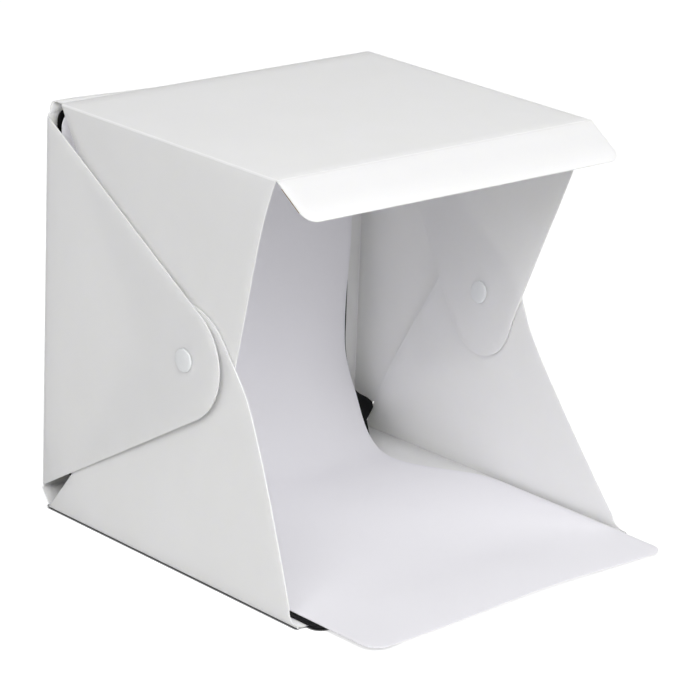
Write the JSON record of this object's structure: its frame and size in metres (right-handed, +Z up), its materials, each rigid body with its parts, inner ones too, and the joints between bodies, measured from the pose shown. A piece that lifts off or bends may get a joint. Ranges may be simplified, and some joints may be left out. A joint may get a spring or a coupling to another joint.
{
  "type": "foldable light tent cube",
  "caption": "Open-fronted photo light tent of creased white sheet with pinched snap-together side flaps, a visor with an LED strip, and swept backdrops.",
  "frame": {"origin": "middle of the bottom panel's underside, on the surface that the tent stands on, midway between its sides", "axes": "+Z up, -Y out of the open front, +X to the right as seen from the front"},
  "size_m": [0.2436, 0.2815, 0.2355],
  "materials": {
    "white_sheet": "translucent white polypropylene sheet, fine satin grain",
    "snap_plastic": "moulded white snap fastener",
    "white_backdrop_sheet": "matte white backdrop sheet",
    "black_backdrop_sheet": "matte black backdrop sheet",
    "white_hook_and_loop": "white hook and loop pad",
    "black_hook_and_loop": "black hook and loop pad",
    "foam_tape": "double-sided foam tape",
    "circuit_board": "circuit board, white mask over a brown laminate edge",
    "led_package": "surface-mount light emitter with yellow phosphor",
    "power_socket_steel": "nickel-plated folded steel shell",
    "contact_carrier": "black moulded contact tongue"
  },
  "bodies": {
    "bottom_panel": {"bottom_panel": "white_sheet", "black_backdrop": "black_backdrop_sheet", "white_backdrop": "white_backdrop_sheet", "left_black_backdrop_loop_pad": "black_hook_and_loop", "left_black_backdrop_hook_pad": "black_hook_and_loop", "left_white_backdrop_loop_pad": "white_hook_and_loop", "right_black_backdrop_loop_pad": "black_hook_and_loop", "right_black_backdrop_hook_pad": "black_hook_and_loop", "right_white_backdrop_loop_pad": "white_hook_and_loop"},
    "bottom_spine": {"bottom_spine": "white_sheet"},
    "back_panel": {"back_panel": "white_sheet", "left_back_panel_hook_pad": "white_hook_and_loop", "right_back_panel_hook_pad": "white_hook_and_loop"},
    "top_spine": {"top_spine": "white_sheet"},
    "top_panel": {"top_panel": "white_sheet"},
    "visor": {"visor": "white_sheet", "led_board_tape": "foam_tape", "led_board": "circuit_board", "power_socket_shell": "power_socket_steel", "power_socket_tongue": "contact_carrier", "led_chip_01": "led_package", "led_chip_02": "led_package", "led_chip_03": "led_package", "led_chip_04": "led_package", "led_chip_05": "led_package", "led_chip_06": "led_package", "led_chip_07": "led_package", "led_chip_08": "led_package", "led_chip_09": "led_package", "led_chip_10": "led_package", "led_chip_11": "led_package", "led_chip_12": "led_package", "led_chip_13": "led_package", "led_chip_14": "led_package", "led_chip_15": "led_package", "led_chip_16": "led_package", "led_chip_17": "led_package", "led_chip_18": "led_package", "led_chip_19": "led_package", "led_chip_20": "led_package"},
    "left_back_flap": {"left_back_flap": "white_sheet", "left_snap_outer_cap": "snap_plastic", "left_snap_socket": "snap_plastic"},
    "left_bottom_flap": {"left_bottom_flap": "white_sheet"},
    "left_top_flap": {"left_top_flap": "white_sheet", "left_snap_inner_cap": "snap_plastic", "left_snap_stud": "snap_plastic"},
    "right_back_flap": {"right_back_flap": "white_sheet", "right_snap_outer_cap": "snap_plastic", "right_snap_socket": "snap_plastic"},
    "right_bottom_flap": {"right_bottom_flap": "white_sheet"},
    "right_top_flap": {"right_top_flap": "white_sheet", "right_snap_inner_cap": "snap_plastic", "right_snap_stud": "snap_plastic"}
  },
  "joints": [
    {"name": "unfold", "type": "hinge", "parent": "bottom_panel", "child": "bottom_spine", "pos_m": [0, 0.1075, 0], "axis": [-1, 0, 0], "range_deg": [0, 45]},
    {"name": "back_crease", "type": "hinge", "parent": "bottom_spine", "child": "back_panel", "pos_m": [0, 0.116, 0.0085], "axis": [-1, 0, 0], "range_deg": [0, 45]},
    {"name": "top_spine_crease", "type": "hinge", "parent": "back_panel", "child": "top_spine", "pos_m": [0, 0.116, 0.2295], "axis": [-1, 0, 0], "range_deg": [0, 45]},
    {"name": "top_crease", "type": "hinge", "parent": "top_spine", "child": "top_panel", "pos_m": [0, 0.11, 0.2355], "axis": [-1, 0, 0], "range_deg": [0, 45]},
    {"name": "left_back_flap_crease", "type": "hinge", "parent": "back_panel", "child": "left_back_flap", "pos_m": [-0.11775, 0.1149, 0.117], "axis": [0, 0, -1], "range_deg": [0, 90]},
    {"name": "left_bottom_flap_crease", "type": "hinge", "parent": "bottom_panel", "child": "left_bottom_flap", "pos_m": [-0.12112, -0.004, 0.0011], "axis": [-0.006, -1, 0], "range_deg": [0, 90]},
    {"name": "left_top_flap_crease", "type": "hinge", "parent": "top_panel", "child": "left_top_flap", "pos_m": [-0.1134, -0.004, 0.2344], "axis": [0, 1, 0], "range_deg": [0, 90]},
    {"name": "right_back_flap_crease", "type": "hinge", "parent": "back_panel", "child": "right_back_flap", "pos_m": [0.11775, 0.1149, 0.117], "axis": [0, 0, 1], "range_deg": [0, 90]},
    {"name": "right_bottom_flap_crease", "type": "hinge", "parent": "bottom_panel", "child": "right_bottom_flap", "pos_m": [0.12112, -0.004, 0.0011], "axis": [-0.006, 1, 0], "range_deg": [0, 90]},
    {"name": "right_top_flap_crease", "type": "hinge", "parent": "top_panel", "child": "right_top_flap", "pos_m": [0.1134, -0.004, 0.2344], "axis": [0, -1, 0], "range_deg": [0, 90]},
    {"name": "visor_tilt", "type": "hinge", "parent": "top_panel", "child": "visor", "pos_m": [0, -0.078, 0.2351], "axis": [-1, 0, 0], "range_deg": [-27, 33]}
  ],
  "couplings": [
    {"joint": "back_crease", "follows": "unfold", "ratio": 1},
    {"joint": "top_spine_crease", "follows": "unfold", "ratio": 1},
    {"joint": "top_crease", "follows": "unfold", "ratio": 1},
    {"joint": "left_back_flap_crease", "follows": "unfold", "ratio": 2},
    {"joint": "left_bottom_flap_crease", "follows": "unfold", "ratio": 1.25},
    {"joint": "left_top_flap_crease", "follows": "unfold", "ratio": 0.8},
    {"joint": "right_back_flap_crease", "follows": "unfold", "ratio": 2},
    {"joint": "right_bottom_flap_crease", "follows": "unfold", "ratio": 1.25},
    {"joint": "right_top_flap_crease", "follows": "unfold", "ratio": 0.8}
  ]
}
